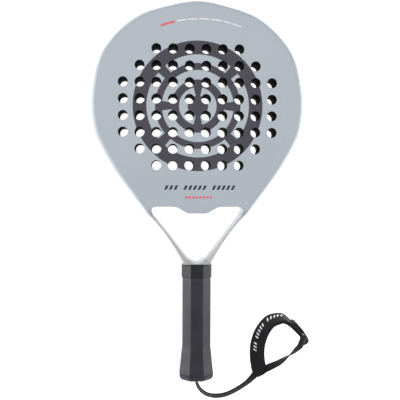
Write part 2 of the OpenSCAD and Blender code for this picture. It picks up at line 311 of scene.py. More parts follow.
def remap(tree, value, low, high, to_low=0.0, to_high=1.0, smooth=False):
    node = tree.nodes.new("ShaderNodeMapRange")
    node.interpolation_type = "SMOOTHSTEP" if smooth else "LINEAR"
    put(tree, value, node.inputs["Value"])
    for label, amount in (("From Min", low), ("From Max", high), ("To Min", to_low), ("To Max", to_high)):
        put(tree, amount, node.inputs[label])
    return node.outputs["Result"]


def blend(tree, factor, first, second):
    node = tree.nodes.new("ShaderNodeMix")
    node.data_type = "RGBA"
    put(tree, factor, node.inputs["Factor"])
    put(tree, first, node.inputs["A"])
    put(tree, second, node.inputs["B"])
    return node.outputs["Result"]


def grain_group():
    """Fine grain and broad patches, for lacquer, rubber, foam and cloth."""
    name = "Surface Grain"
    if name in bpy.data.node_groups:
        return bpy.data.node_groups[name]
    group, start, end = socket_group(
        name,
        [("Vector", "vector", (0, 0, 0)), ("Grain Scale", "value", 900.0), ("Patch Scale", "value", 14.0)],
        [("Grain", "value"), ("Patches", "value"), ("Smudges", "value")])
    grain = noise(group, start.outputs["Vector"], start.outputs["Grain Scale"], detail=4.0, roughness=0.6)
    patches = noise(group, start.outputs["Vector"], start.outputs["Patch Scale"], detail=2.0)
    smudge_scale = arithmetic(group, "MULTIPLY", start.outputs["Patch Scale"], 6.0)
    smudges = noise(group, start.outputs["Vector"], smudge_scale, detail=5.0, roughness=0.65)
    group.links.new(grain, end.inputs["Grain"])
    group.links.new(patches, end.inputs["Patches"])
    group.links.new(remap(group, smudges, 0.52, 0.72), end.inputs["Smudges"])
    return group


def weave_group():
    """A plain weave of ribs that pass over and under each other, with its height and a thread mask."""
    name = "Plain Weave"
    if name in bpy.data.node_groups:
        return bpy.data.node_groups[name]
    group, start, end = socket_group(
        name,
        [("Vector", "vector", (0, 0, 0)), ("Across Pitch", "value", 0.001), ("Along Pitch", "value", 0.001)],
        [("Height", "value"), ("Thread", "value")])
    parts = group.nodes.new("ShaderNodeSeparateXYZ")
    group.links.new(start.outputs["Vector"], parts.inputs[0])
    turns = []
    for axis, pitch in (("X", "Across Pitch"), ("Y", "Along Pitch")):
        cycles = arithmetic(group, "DIVIDE", parts.outputs[axis], start.outputs[pitch])
        turns.append(arithmetic(group, "MULTIPLY", cycles, math.pi))
    across = arithmetic(group, "SINE", turns[0])
    along = arithmetic(group, "SINE", turns[1])
    warp = arithmetic(group, "ABSOLUTE", arithmetic(group, "COSINE", turns[0]))
    weft = arithmetic(group, "ABSOLUTE", arithmetic(group, "COSINE", turns[1]))
    over = arithmetic(group, "MULTIPLY", across, along)
    chosen = remap(group, over, -0.15, 0.15)
    height = group.nodes.new("ShaderNodeMix")
    height.data_type = "FLOAT"
    group.links.new(chosen, height.inputs["Factor"])
    group.links.new(warp, height.inputs["A"])
    group.links.new(weft, height.inputs["B"])
    group.links.new(height.outputs["Result"], end.inputs["Height"])
    group.links.new(chosen, end.inputs["Thread"])
    return group


class Finish:
    """One material: its Principled shader, the grain group on object coordinates, and a bump."""

    def __init__(self, name, roughness=0.5, coat=0.0, coat_roughness=0.1, specular=0.5, sheen=0.0,
                 grain_scale=900.0, patch_scale=14.0):
        self.material = bpy.data.materials.new(name)
        self.material.use_nodes = True
        self.tree = self.material.node_tree
        self.shader = self.tree.nodes["Principled BSDF"]
        sockets = self.shader.inputs
        sockets["Roughness"].default_value = roughness
        sockets["Coat Weight"].default_value = coat
        sockets["Coat Roughness"].default_value = coat_roughness
        sockets["Specular IOR Level"].default_value = specular
        sockets["Sheen Weight"].default_value = sheen
        self.place = self.tree.nodes.new("ShaderNodeTexCoord")
        self.grain = self.tree.nodes.new("ShaderNodeGroup")
        self.grain.node_tree = grain_group()
        self.grain.inputs["Grain Scale"].default_value = grain_scale
        self.grain.inputs["Patch Scale"].default_value = patch_scale
        self.tree.links.new(self.place.outputs["Object"], self.grain.inputs["Vector"])

    def colour(self, value):
        put(self.tree, value, self.shader.inputs["Base Color"])

    def mottled(self, light, dark, amount=1.0):
        """A colour between two tones: broad patches with fine grain over them."""
        fine = remap(self.tree, self.grain.outputs["Grain"], 0.35, 0.65, -0.5, 0.5)
        broad = remap(self.tree, self.grain.outputs["Patches"], 0.3, 0.7)
        fine = arithmetic(self.tree, "MULTIPLY", fine, amount)
        mixed = arithmetic(self.tree, "ADD", broad, fine, clamp=True)
        return blend(self.tree, mixed, (*dark, 1.0), (*light, 1.0))

    def roughness(self, low, high, source="Patches"):
        """Lets the roughness wander between two values."""
        value = remap(self.tree, self.grain.outputs[source], 0.3, 0.7, low, high)
        self.tree.links.new(value, self.shader.inputs["Roughness"])

    def bump(self, height, strength, distance):
        node = self.tree.nodes.new("ShaderNodeBump")
        node.inputs["Strength"].default_value = strength
        node.inputs["Distance"].default_value = distance
        put(self.tree, height, node.inputs["Height"])
        self.tree.links.new(node.outputs["Normal"], self.shader.inputs["Normal"])

    def weave(self, vector, across, along):
        node = self.tree.nodes.new("ShaderNodeGroup")
        node.node_tree = weave_group()
        node.inputs["Across Pitch"].default_value = across
        node.inputs["Along Pitch"].default_value = along
        self.tree.links.new(vector, node.inputs["Vector"])
        return node


def tone(colour, factor):
    return tuple(channel * factor for channel in colour)


# ---------------------------------------------------------------- finishes

def shared(name, make):
    """The material of that name, made once."""
    return bpy.data.materials.get(name) or make(name)


def lacquer(name, near, far, fade):
    """Satin lacquer whose colour fades from the face's tone to the arms' tone along the racket."""
    finish = Finish(name, roughness=0.36, coat=0.25, coat_roughness=0.22, specular=0.45, patch_scale=9.0)
    tree = finish.tree
    parts = tree.nodes.new("ShaderNodeSeparateXYZ")
    tree.links.new(finish.place.outputs["Object"], parts.inputs[0])
    down = remap(tree, parts.outputs["Y"], fade[0], fade[1], smooth=True)
    face = finish.mottled(tone(near, 1.02), tone(near, 0.975), 0.35)
    arms = finish.mottled(tone(far, 1.02), tone(far, 0.97), 0.35)
    finish.colour(blend(tree, down, face, arms))
    finish.roughness(0.32, 0.40)
    finish.bump(finish.grain.outputs["Grain"], 0.05, 0.2 * MM)
    return finish.material


def face_lacquer():
    head = bpy.context.scene.racket_head
    fade = (-12 * MM, -52 * MM)
    return shared("Face lacquer", lambda name: lacquer(name, head.paint, head.silver, fade))


def inlay_finish():
    def make(name):
        colour = bpy.context.scene.racket_head.inlay
        finish = Finish(name, roughness=0.5, specular=0.4, grain_scale=1500.0, patch_scale=20.0)
        weave = finish.weave(finish.place.outputs["Object"], 1.9 * MM, 1.9 * MM)
        threads = arithmetic(finish.tree, "MULTIPLY", weave.outputs["Thread"], 0.7)
        light = finish.mottled(tone(colour, 1.25), tone(colour, 1.0), 0.9)
        finish.colour(blend(finish.tree, threads, light, (*tone(colour, 0.62), 1.0)))
        finish.roughness(0.42, 0.58)
        finish.bump(weave.outputs["Height"], 0.12, 0.1 * MM)
        return finish.material
    return shared("Woven inlay", make)


def ink(name, colour):
    """Printed ink: a flat tone with fine speckle and slightly uneven gloss."""
    def make(label):
        finish = Finish(label, roughness=0.4, specular=0.45, grain_scale=2400.0, patch_scale=60.0)
        finish.colour(finish.mottled(tone(colour, 1.04), tone(colour, 0.93), 0.8))
        finish.roughness(0.34, 0.48)
        return finish.material
    return shared(name, make)


def foam_finish(name, light, dark, roughness, grain, patches, bump, depth):
    """Foam with a rough open grain. grain and patches are the scales of its two noises."""
    def make(label):
        finish = Finish(label, roughness=roughness, specular=0.2, grain_scale=grain, patch_scale=patches)
        finish.colour(finish.mottled(light, dark))
        finish.bump(finish.grain.outputs["Grain"], bump, depth)
        return finish.material
    return shared(name, make)


def core_foam_finish():
    return foam_finish("Core foam", (0.006, 0.006, 0.0065), (0.0025, 0.0025, 0.003),
                       0.9, 2600.0, 60.0, 0.6, 0.4 * MM)


def filler_foam_finish():
    return foam_finish("Filler foam", (0.78, 0.73, 0.58), (0.62, 0.56, 0.42),
                       0.85, 1200.0, 30.0, 0.5, 0.5 * MM)


def laminate_finish():
    def make(name):
        finish = Finish(name, roughness=0.4, coat=0.3, specular=0.5, grain_scale=700.0)
        weave = finish.weave(finish.place.outputs["Object"], 2.0 * MM, 2.0 * MM)
        dark, light = (0.02, 0.02, 0.022, 1), (0.045, 0.045, 0.048, 1)
        finish.colour(blend(finish.tree, weave.outputs["Thread"], dark, light))
        finish.roughness(0.3, 0.5)
        finish.bump(weave.outputs["Height"], 0.2, 0.2 * MM)
        return finish.material
    return shared("Bare laminate", make)


def rubber_finish(name, colour, roughness, specular, bump):
    """Moulded rubber with a fine grain and paler smudges."""
    def make(label):
        finish = Finish(label, roughness=roughness, specular=specular, grain_scale=1400.0, patch_scale=28.0)
        worn = finish.mottled(tone(colour, 1.15), tone(colour, 0.85), 0.7)
        smudge = arithmetic(finish.tree, "MULTIPLY", finish.grain.outputs["Smudges"], 0.25)
        finish.colour(blend(finish.tree, smudge, worn, (*tone(colour, 1.6), 1.0)))
        finish.roughness(roughness - 0.06, roughness + 0.08, "Grain")
        finish.bump(finish.grain.outputs["Grain"], bump, 0.3 * MM)
        return finish.material
    return shared(name, make)


def cloth_finish(name, colour, across, along, bump=0.5, sheen=0.1, roughness=0.8):
    """Woven or knitted cloth that follows its band's own UV map, with painted shade darkening the low parts
    of its weave.
    """
    def make(label):
        finish = Finish(label, roughness=roughness, specular=0.3, sheen=sheen,
                        grain_scale=2600.0, patch_scale=90.0)
        weave = finish.weave(finish.place.outputs["UV"], across, along)
        threads = finish.mottled(tone(colour, 1.35), tone(colour, 0.8), 0.9)
        # Painted shade: where the weave is low, between the threads, the colour is darkened towards 0.45 of
        # the cloth's tone.
        painted_weave_shade = remap(finish.tree, weave.outputs["Height"], 0.0, 1.0, 0.55, 0.0)
        finish.colour(blend(finish.tree, painted_weave_shade, threads, (*tone(colour, 0.45), 1.0)))
        finish.roughness(roughness - 0.08, roughness + 0.1, "Grain")
        finish.bump(weave.outputs["Height"], bump, 0.25 * MM)
        return finish.material
    return shared(name, make)


def white_ink():
    return ink("White ink", (0.93, 0.93, 0.93))


# ---------------------------------------------------------------- the head

# Tables along the racket: y in mm, then a size in mm or a share.
ARM_WIDTHS = [(-85, 9.6), (-74, 7.6), (-60, 5.9), (-46, 4.8), (-38, 4.5), (-28, 4.8), (-18, 9.0), (-8, 15.0)]
ARM_HALF_HEIGHTS = [(-85, 16.0), (-60, 19.0)]
ARM_ROUNDING = [(-42, 1.0), (-32, 0.0)]
SHOULDERS = [(-38, 2.2), (-28, 2.6), (-19, 4.4), (-4, 6.5)]
SHEET_BLEND = [(-25, 0.0), (-11, 1.0)]
BRIDGE_REACH_Y = -38 * MM
INNER_TURNS = (78, 60, 42, 25, 8)


def tube_outline():
    """The tube's widest line in plan, from the left arm's end round the tip to the right arm's end."""
    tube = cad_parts["frame_tube"]
    places = [tube.matrix_world @ v.co for v in tube.data.vertices]
    plan = {(round(p.x, 5), round(p.y, 5)) for p in places if abs(p.z - MID_Z) < 0.01 * MM}
    heart_y = 30 * MM
    knots = sorted(plan, key=lambda p: math.atan2(p[0], p[1] - heart_y))
    line = smooth_path(knots, 3)
    return [line[0] * 1.5 - line[1] * 0.5] + line + [line[-1] * 1.5 - line[-2] * 0.5]


def tube_width(y):
    head = bpy.context.scene.racket_head
    return min(lookup(y / MM, ARM_WIDTHS) * MM, head.tube_width)


def tube_half_height(y):
    return lookup(y / MM, ARM_HALF_HEIGHTS) * MM


def shoulder_width(y):
    """How far the rounded outer side reaches in: the head's shoulder, then half the width of an arm."""
    head = bpy.context.scene.racket_head
    flat = lookup(y / MM, SHOULDERS) * head.shoulder / SHOULDERS[-1][1]
    share = lookup(y / MM, ARM_ROUNDING)
    return flat * (1 - share) + tube_width(y) / 2 * share


def sheet_inset(y):
    """How far inside the outline the face sheet's edge lies."""
    share = lookup(y / MM, SHEET_BLEND)
    return tube_width(y) * (1 - share) + shoulder_width(y) * share


def tube_ring(point, normal):
    """One closed section of the tube: a round outer side, a ledge under the face sheets and an inner wall.

    Below the bridge it turns into a full ellipse.
    """
    y = point.y
    width, half, shoulder, inset = tube_width(y), tube_half_height(y), shoulder_width(y), sheet_inset(y)
    ledge = half - SKIN * lookup(y / MM, SHEET_BLEND)
    share = lookup(y / MM, ARM_ROUNDING)
    corner, cut = 0.3 * MM, 0.08 * MM
    flat = [(max(shoulder, inset - 0.1 * MM), half), (inset + 0.02 * MM, ledge), (width - corner, ledge),
            (width - cut, ledge - cut), (width, ledge - corner)]
    profile = []
    for angle in range(90, -91, -15):
        turn = math.radians(angle)
        profile.append((shoulder * (1 - math.cos(turn)), half * math.sin(turn)))
    inner = []
    for (u, z), angle in zip(flat, INNER_TURNS):
        turn = math.radians(angle)
        round_u, round_z = width / 2 * (1 + math.cos(turn)), half * math.sin(turn)
        inner.append((u + share * (round_u - u), z + share * (round_z - z)))
    profile += [(u, -z) for u, z in inner] + list(reversed(inner))
    return [Vector((point.x + normal.x * u, point.y + normal.y * u, MID_Z + z)) for u, z in profile]


HOLE_ROWS = (6, 8, 10, 10, 10, 10, 8, 6)
HOLES_BELOW_INLAY_CENTRE = 1.4 * MM
HOLE_SIDES = 40


def hole_centres():
    """The middles of the holes, in rows that are centred on the racket's long axis."""
    pitch = bpy.context.scene.racket_head.hole_pitch
    middle_y = INLAY_CENTRE.y - HOLES_BELOW_INLAY_CENTRE
    centres = []
    for row, count in enumerate(HOLE_ROWS):
        y = middle_y + (row - (len(HOLE_ROWS) - 1) / 2) * pitch
        centres += [Vector(((column - (count - 1) / 2) * pitch, y)) for column in range(count)]
    return centres


def circle(centre, radius, steps, start=0.0, end=360.0):
    """The points of a circle or an arc, with angles in degrees."""
    full = end - start >= 360.0
    count = steps if full else steps + 1
    turns = [math.radians(start + (end - start) * k / steps) for k in range(count)]
    return [centre + radius * Vector((math.cos(t), math.sin(t))) for t in turns]


def annular_bar(centre, inner, outer, start, end, steps):
    """The outline of a piece of a ring, with angles in degrees."""
    return circle(centre, outer, steps, start, end) + list(reversed(circle(centre, inner, steps, start, end)))


def throat_line():
    """The throat's upper edge, from its left corner over the tongue to its right corner."""
    radius, top_y = 5.0, -17.2
    corner = (48.9, top_y - radius)
    right = [(9.5, -25.2), (12.6, -24.5), (22.8, -18.6), (26.2, -17.5), (30.0, top_y)]
    right += [(corner[0] + radius * math.cos(math.radians(a)), corner[1] + radius * math.sin(math.radians(a)))
              for a in range(90, -50, -10)]
    left = [(-x, y) for x, y in reversed(right)]
    return [Vector(p) * MM for p in left + right]


def face_outline():
    """The outline of the face sheet: inside the shoulder, down the arms' inner sides and along the throat."""
    line = tube_outline()
    throat = throat_line()
    rim = [p + n * sheet_inset(p.y) for p, n in zip(line, plan_normals(line)) if p.y > BRIDGE_REACH_Y]
    return [p for p in rim if p.y > throat[0].y] + list(reversed(throat))


def inside(point, loop):
    """Whether a point lies inside a closed loop in the plane."""
    hit = False
    for a, b in zip(loop, loop[1:] + loop[:1]):
        if (a.y > point.y) != (b.y > point.y):
            hit ^= point.x < a.x + (point.y - a.y) * (b.x - a.x) / (b.y - a.y)
    return hit


PAINT, DARK, NAVY, CORAL, WHITE = range(5)

# The broken rings on the dark panel: inner and outer radius in mm, the first gap, the gaps' width in degrees
# and their number.
BROKEN_RINGS = ((12, 22, 90, 26, 2), (31, 42, 0, 15, 2), (50, 60, 45, 11, 4))
BAR_COUNT, BARS_LEFT_OUT = 15, (3, 9)
TIP_DASHES = ((97.5, 102.6), (92.0, 96.8), (86.0, 91.2), (79.0, 85.2), (74.5, 78.3), (69.0, 73.8))


def bar(left, right, low, high, lean=0.0):
    """The outline of a bar given in mm. Its foot lies lean to the left and its head lean to the right."""
    corners = ((left - lean, low), (right - lean, low), (right + lean, high), (left + lean, high))
    return [Vector((x * MM, y * MM)) for x, y in corners]


def face_marks():
    """The printed shapes on the face, as (slot, outline) pairs. Later ones lie over earlier ones."""
    centre = Vector((INLAY_CENTRE.x, INLAY_CENTRE.y))
    marks = [(DARK, circle(centre, INLAY_RADIUS, 180))]
    for inner, outer, first, gap, count in BROKEN_RINGS:
        sweep = 360 / count
        for k in range(count):
            start = first + k * sweep + gap / 2
            marks.append((PAINT, annular_bar(centre, inner * MM, outer * MM, start, start + sweep - gap, 40)))
    for k in range(BAR_COUNT):
        if k not in BARS_LEFT_OUT:
            x = -36.5 + 5.6 * k
            marks.append((NAVY, bar(x - 1.5, x + 1.5, 3.0, 8.2, 1.3)))
    for k in range(8):
        x = -14.5 + 4.1 * k
        marks.append((CORAL, bar(x, x + 3.0, -7.2, -4.8)))
    tip_centre, tip_radius = Vector((3.5 * MM, 71.0 * MM)), 131.0 * MM
    inner, outer = tip_radius - 1.2 * MM, tip_radius + 1.3 * MM
    marks.append((CORAL, annular_bar(tip_centre, inner, outer, 103.5, 111.0, 16)))
    inner, outer = tip_radius - 0.7 * MM, tip_radius + 0.8 * MM
    marks += [(WHITE, annular_bar(tip_centre, inner, outer, start, end, 12)) for start, end in TIP_DASHES]
    return marks


def offset_loop(loop, distance):
    """A closed loop moved to its inner side, for a loop whose inside lies on its right."""
    moved = []
    count = len(loop)
    for i, p in enumerate(loop):
        step = (loop[(i + 1) % count] - loop[i - 1]).normalized()
        moved.append(p + Vector((step.y, -step.x)) * distance)
    return moved


def rim_levels(loop_at, edge):
    """The rings of a sheet's rounded rim, from its flat side down to its other side, as (x, y, depth) points.

    loop_at gives the loop at a distance into the sheet.
    """
    rings = []
    for turn in (math.radians(t) for t in (0, 30, 60, 90)):
        depth = edge * (1 - math.cos(turn))
        rings.append([Vector((p.x, p.y, depth)) for p in loop_at(edge * (1 - math.sin(turn)))])
    rings.append([Vector((p.x, p.y, SKIN)) for p in rings[-1]])
    return rings


def drilled_sheet():
    """A drilled face sheet as (x, y, depth) vertices, faces and the printed slot of each face.

    Printed shapes are faces of their own, so their edges stay sharp.
    """
    head = bpy.context.scene.racket_head
    edge, hole = head.hole_edge, head.hole_diameter / 2
    outline, centres, marks = face_outline(), hole_centres(), face_marks()
    rims = [rim_levels(lambda d: offset_loop(outline, d), edge * 0.7)]
    rims += [rim_levels(lambda d, c=c: circle(c, hole + d, HOLE_SIDES), edge) for c in centres]
    points, edges = [], []
    for loop in [[p.to_2d() for p in rim[0]] for rim in rims] + [shape for _, shape in marks]:
        first = len(points)
        points += loop
        edges += [(first + k, first + (k + 1) % len(loop)) for k in range(len(loop))]
    weld = 1e-7
    flat, _, triangles, _, _, _ = delaunay_2d_cdt(points, edges, [], 0, weld)
    verts = [Vector((p.x, p.y, 0.0)) for p in flat]
    faces, slots = [], []
    limit = [p.to_2d() for p in rims[0][0]]
    for triangle in triangles:
        middle = sum((flat[i] for i in triangle), Vector((0, 0))) / 3
        drilled = any((middle - c).length < (hole + edge) * 0.995 for c in centres)
        if not drilled and inside(middle, limit):
            faces.append(tuple(triangle))
            slots.append(mark_at(middle, marks))
    for rings in rims:
        first, count = len(verts), len(rings[0])
        verts += [p for ring in rings for p in ring]
        for i in range(len(rings) - 1):
            for k in range(count):
                n, a = (k + 1) % count, first + i * count
                faces.append((a + k, a + n, a + count + n, a + count + k))
                slots.append(mark_at(rings[0][k].to_2d(), marks))
    return verts, faces, slots


def split_sheet(sheet, outer_z, inward, chosen):
    """The faces whose middle passes a test in plan, set at their height, with their vertices and slots."""
    verts, faces, slots = sheet
    used, kept_faces, kept_slots = {}, [], []
    for face, slot in zip(faces, slots):
        middle = sum((verts[i].to_2d() for i in face), Vector((0, 0))) / len(face)
        if chosen(middle):
            corners = [used.setdefault(i, len(used)) for i in face]
            kept_faces.append(tuple(corners))
            kept_slots.append(slot)
    places = [Vector((verts[i].x, verts[i].y, outer_z + inward * verts[i].z)) for i in used]
    return places, kept_faces, kept_slots


def mark_at(point, marks):
    """The slot of the topmost printed shape at a point."""
    for slot, outline in reversed(marks):
        if inside(point, outline):
            return slot
    return PAINT


def rounded_copy(node, name, material, body, width):
    """A copy of a CAD node's shape with its sharp edges rounded."""
    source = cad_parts[node]
    bm = bmesh.new()
    bm.from_mesh(source.data)
    bmesh.ops.transform(bm, matrix=source.matrix_world, verts=bm.verts)
    bmesh.ops.remove_doubles(bm, verts=bm.verts, dist=0.005 * MM)
    bmesh.ops.dissolve_limit(bm, angle_limit=math.radians(2), verts=bm.verts, edges=bm.edges)
    sharp = [e for e in bm.edges if len(e.link_faces) == 2 and e.calc_face_angle() > math.radians(40)]
    bmesh.ops.bevel(bm, geom=sharp, offset=width, segments=3, affect="EDGES", profile=0.5, clamp_overlap=True)
    bm.verts.index_update()
    verts = [v.co.copy() for v in bm.verts]
    faces = [[v.index for v in face.verts] for face in bm.faces]
    bm.free()
    piece = new_piece(name, verts, faces, [material], body)
    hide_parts(node)
    return piece


def dress(node, material):
    """Gives a CAD node that stays in view its finish."""
    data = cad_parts[node].data
    data.materials.clear()
    data.materials.append(material)


# ---------------------------------------------------------------- the handle

PARTING_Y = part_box("hand_grip")[0].y
FACET_SLOPE = 0.82
# How much wider each side is than the straight grip: y in mm, then mm.
FLARE = [
    (-226.5, -2.0), (-226.2, 0.0), (-225.4, 1.5), (-223.6, 2.8), (-220.2, 3.5), (-216.0, 3.3), (-208.0, 2.2),
    (-200.0, 1.5), (-192.0, 0.7), (-186.0, 0.0),
]


def octagon(width, thickness, facet):
    """The corners of the grip's section, clockwise from the front facet's right end."""
    half, high, front = width / 2, thickness / 2, facet / 2
    side = high - (half - front) * FACET_SLOPE
    return [Vector((x, z, 0)) for x, z in (
        (front, high), (half, side), (half, -side), (front, -high),
        (-front, -high), (-half, -side), (-half, side), (-front, high))]


def handle_ring(y, extra, corner):
    """A ring round the handle at y: the grip's octagon, grown by extra on each side, with rounded corners."""
    handle = bpy.context.scene.racket_handle
    corners = octagon(handle.grip_width + 2 * extra, handle.grip_thickness + 1.6 * extra,
                      handle.grip_facet + 0.8 * extra)
    return [Vector((p.x, y, MID_Z + p.y)) for p in rounded_ring(corners, corner, 3)]


def flare_at(y):
    return lookup(y / MM, FLARE) * MM


def steps_between(start, end, count):
    return [start + (end - start) * k / count for k in range(count + 1)]


def cut_away(piece, cutter):
    """Takes one closed solid out of another for good."""
    modifier = piece.modifiers.new("Cut", "BOOLEAN")
    modifier.operation = "DIFFERENCE"
    modifier.solver = "EXACT"
    modifier.object = cutter
    result = piece.evaluated_get(bpy.context.evaluated_depsgraph_get())
    cut = bpy.data.meshes.new_from_object(result)
    piece.modifiers.clear()
    piece.data = cut
    bpy.data.objects.remove(cutter)


# ---------------------------------------------------------------- the strap

# Routes: x and y in mm, then how far the band is tilted from lying flat, in degrees.
TAIL_ROUTE = [
    (0, -227.3, 88), (0.6, -231, 76), (3, -238.5, 64), (7, -245, 56), (12.5, -250.2, 50),
    (19, -253.4, 46), (26, -254.6, 42), (36, -253.4, 42), (46, -249.6, 42), (56, -244, 42),
    (65, -237.9, 38), (70.6, -232.9, 28), (74, -229.6, 18), (75.6, -228.1, 14),
]
TAIL_DROP = [(0, 19), (0.6, 18.4), (3, 14.4), (7, 10.4), (12.5, 7.4), (19, 5.2), (26, 0)]
PAD_ROUTE = [
    (80.6, -224.8, 0), (78.8, -217, 0), (77.5, -208, 0), (77.2, -198, -4), (78.2, -188, -12),
    (81, -177.6, -26), (85.9, -168, -38), (92.4, -160.6, -47), (99.9, -157.5, -57), (107.2, -156.5, -68),
    (113, -159.3, -77), (118.1, -163.8, -83), (123, -168.9, -86), (128.1, -174.6, -87), (130.2, -177.2, -86),
]
RETURN_ROUTE = [
    (130.3, -176.3, -82), (131.9, -178.8, -66), (133.8, -184.2, -40), (131.9, -192.3, -30),
    (126.5, -197.5, -40), (121.1, -201.9, -58), (115.1, -206, -80), (109.7, -209.8, -98),
    (103.5, -213.8, -113), (96.4, -217.2, -124), (91.2, -219.6, -127), (88.8, -220.8, -129),
]
TAB_END = [(131.8, -180.2, -74), (133.2, -183.6, -54), (134.7, -190.2, -26)]
SAMPLES = 6
TAB_SAMPLES = 4
TAB_FIRST = 64
# The folded end piece in plan, and its height in mm with the scale of the plan there.
END_PIECE = [
    (72.2, -226.2), (74.6, -230.4), (78.2, -232.2), (84.6, -229.4),
    (91.0, -224.8), (91.4, -222.4), (88.6, -221.8), (80.4, -223.8),
]
END_PIECE_LEVELS = ((0.1, 0.93), (0.6, 1.0), (3.4, 1.0), (4.1, 0.95), (4.5, 0.86))
REST_GAP = 0.1 * MM


class Band:
    """A strap's route: where its middle runs, and the directions across it and out of its upper side."""

    def __init__(self, points, width, thickness, drop=None):
        self.middles, self.across, self.out = [], [], []
        for i, (x, y, tilt) in enumerate(points):
            step = points[min(i + 1, len(points) - 1)] - points[max(i - 1, 0)]
            ahead = Vector((step.x, step.y, 0)).normalized()
            left = Vector((-ahead.y, ahead.x, 0))
            turn = math.radians(tilt)
            height = width / 2 * abs(math.sin(turn)) + thickness / 2 * abs(math.cos(turn)) + REST_GAP
            if drop and x < drop[-1][0]:
                height = max(height, lookup(x, drop) * MM)
            self.middles.append(Vector((x * MM, y * MM, height)))
            self.across.append(left * math.cos(turn) + Vector((0, 0, math.sin(turn))))
            self.out.append(Vector((0, 0, math.cos(turn))) - left * math.sin(turn))
        self.along = [0.0]
        for a, b in zip(self.middles, self.middles[1:]):
            self.along.append(self.along[-1] + (b - a).length)

    def point(self, i, side, lift):
        return self.middles[i] + self.across[i] * side + self.out[i] * lift

    def length(self):
        return self.along[-1]

    def at(self, distance, side, lift):
        """The point at a distance along the band."""
        i = 1
        while i < len(self.along) - 1 and self.along[i] < distance:
            i += 1
        t = (distance - self.along[i - 1]) / (self.along[i] - self.along[i - 1])
        return self.point(i - 1, side, lift).lerp(self.point(i, side, lift), t)


def tail_band():
    strap = bpy.context.scene.racket_strap
    return Band(smooth_path(TAIL_ROUTE, SAMPLES), strap.webbing_width, strap.webbing_thickness, TAIL_DROP)


def return_band():
    strap = bpy.context.scene.racket_strap
    return Band(smooth_path(RETURN_ROUTE, SAMPLES), strap.webbing_width, strap.webbing_thickness)


def wrist_band():
    strap = bpy.context.scene.racket_strap
    return Band(smooth_path(PAD_ROUTE, SAMPLES), strap.pad_width, strap.pad_thickness)


def tab_band():
    """The wrist band's last stretch and the tab's free end past it."""
    strap = bpy.context.scene.racket_strap
    sewn = smooth_path(PAD_ROUTE, SAMPLES)[TAB_FIRST:]
    free = smooth_path(PAD_ROUTE[-1:] + TAB_END, TAB_SAMPLES)[1:]
    return Band(sewn + free, strap.pad_width, strap.pad_thickness)


def band_section(width, thickness, crown=0.0, steps=10):
    """A flat section with round edges and, if crown is not 0, a raised middle on its outer side."""
    bulge, deep = thickness * 0.3, thickness / 2
    half = width / 2 - bulge
    shares = [1 - 2 * k / steps for k in range(steps + 1)]

    def edge(middle, turns):
        return [(middle + bulge * math.cos(math.radians(turn)), deep * 0.8 * math.sin(math.radians(turn)))
                for turn in turns]

    outer = [(half * share, deep + crown * (1 - share * share)) for share in shares]
    inner = [(half * share, -deep) for share in reversed(shares)]
    return outer + edge(-half, (150, 180, 210)) + inner + edge(half, (-30, 0, 30))


def band_rings(band, section, lift=0.0, scale_at=None, first=0, last=None, sunk_at=None):
    """A section swept along a band.

    scale_at gives the scales of the section's width and thickness at a step. sunk_at gives how far it lies
    below the lift there.
    """
    last = len(band.middles) - 1 if last is None else last
    rings = []
    for i in range(first, last + 1):
        wide, deep = scale_at(i) if scale_at else (1.0, 1.0)
        height = lift - (sunk_at(i) if sunk_at else 0.0)
        rings.append([band.point(i, u * wide, height + v * deep) for u, v in section])
    return rings


def rounded_at(band, start, end, thinnest):
    """The scales of a band's section that round its ends in plan. start and end are (reach, narrowest)."""
    def scale(i):
        wide, deep = 1.0, 1.0
        for left, (reach, narrowest) in ((band.along[i], start), (band.length() - band.along[i], end)):
            near = min(left, reach) / reach
            wide *= narrowest + (1 - narrowest) * math.sqrt(1 - (1 - near) ** 2)
            deep *= thinnest + (1 - thinnest) * near
        return wide, deep
    return scale


# A stitch: the share of its length, then its height and its size there in thread radii.
STITCH = ((0.0, -0.6, 0.5), (0.15, 0.25, 0.9), (0.5, 0.55, 1.0), (0.85, 0.25, 0.9), (1.0, -0.6, 0.5))


def thread(start, end, out, radius):
    """The rings of one stitch: a short thread that rises out of the cloth and goes back in."""
    ahead = (end - start).normalized()
    side = ahead.cross(out).normalized()
    rings = []
    for share, height, size in STITCH:
        middle = start.lerp(end, share) + out * radius * height
        rings.append([middle + (side * math.cos(t) + out * math.sin(t)) * radius * size
                      for t in (math.pi * k / 3 for k in range(6))])
    return rings


def webbing_cloth():
    strap = bpy.context.scene.racket_strap
    return cloth_finish("Webbing", strap.black, 1.1 * MM, 1.3 * MM, bump=0.7)


def thread_cloth():
    return cloth_finish("Sewing thread", (0.035, 0.035, 0.04), 0.3 * MM, 0.25 * MM, bump=0.5, sheen=0.2)


# ---------------------------------------------------------------- operators

CAMERA_TURNS = (-1.9706, -3.0131, 0.2535)
# Each light's name, place and size in metres, and power in watts.
LAMPS = (
    ("Left softbox", (-1.5, 0.1, 0.85), (1.4, 1.8), 22.0),
    ("Right softbox", (1.5, 0.0, 0.85), (1.4, 1.8), 14.5),
    ("Top softbox", (0.0, 0.9, 1.7), (2.2, 1.0), 4.0),
)


def lamp(name, place, size, power):
    """A soft light that shines on the racket's middle."""
    data = bpy.data.lights.new(name, "AREA")
    data.shape = "RECTANGLE"
    data.size, data.size_y = size
    data.energy = power
    lamp_object = bpy.data.objects.new(name, data)
    lamp_object.location = place
    lamp_object.rotation_euler = (-Vector(place)).to_track_quat("-Z", "Y").to_euler()
    bpy.context.scene.collection.objects.link(lamp_object)


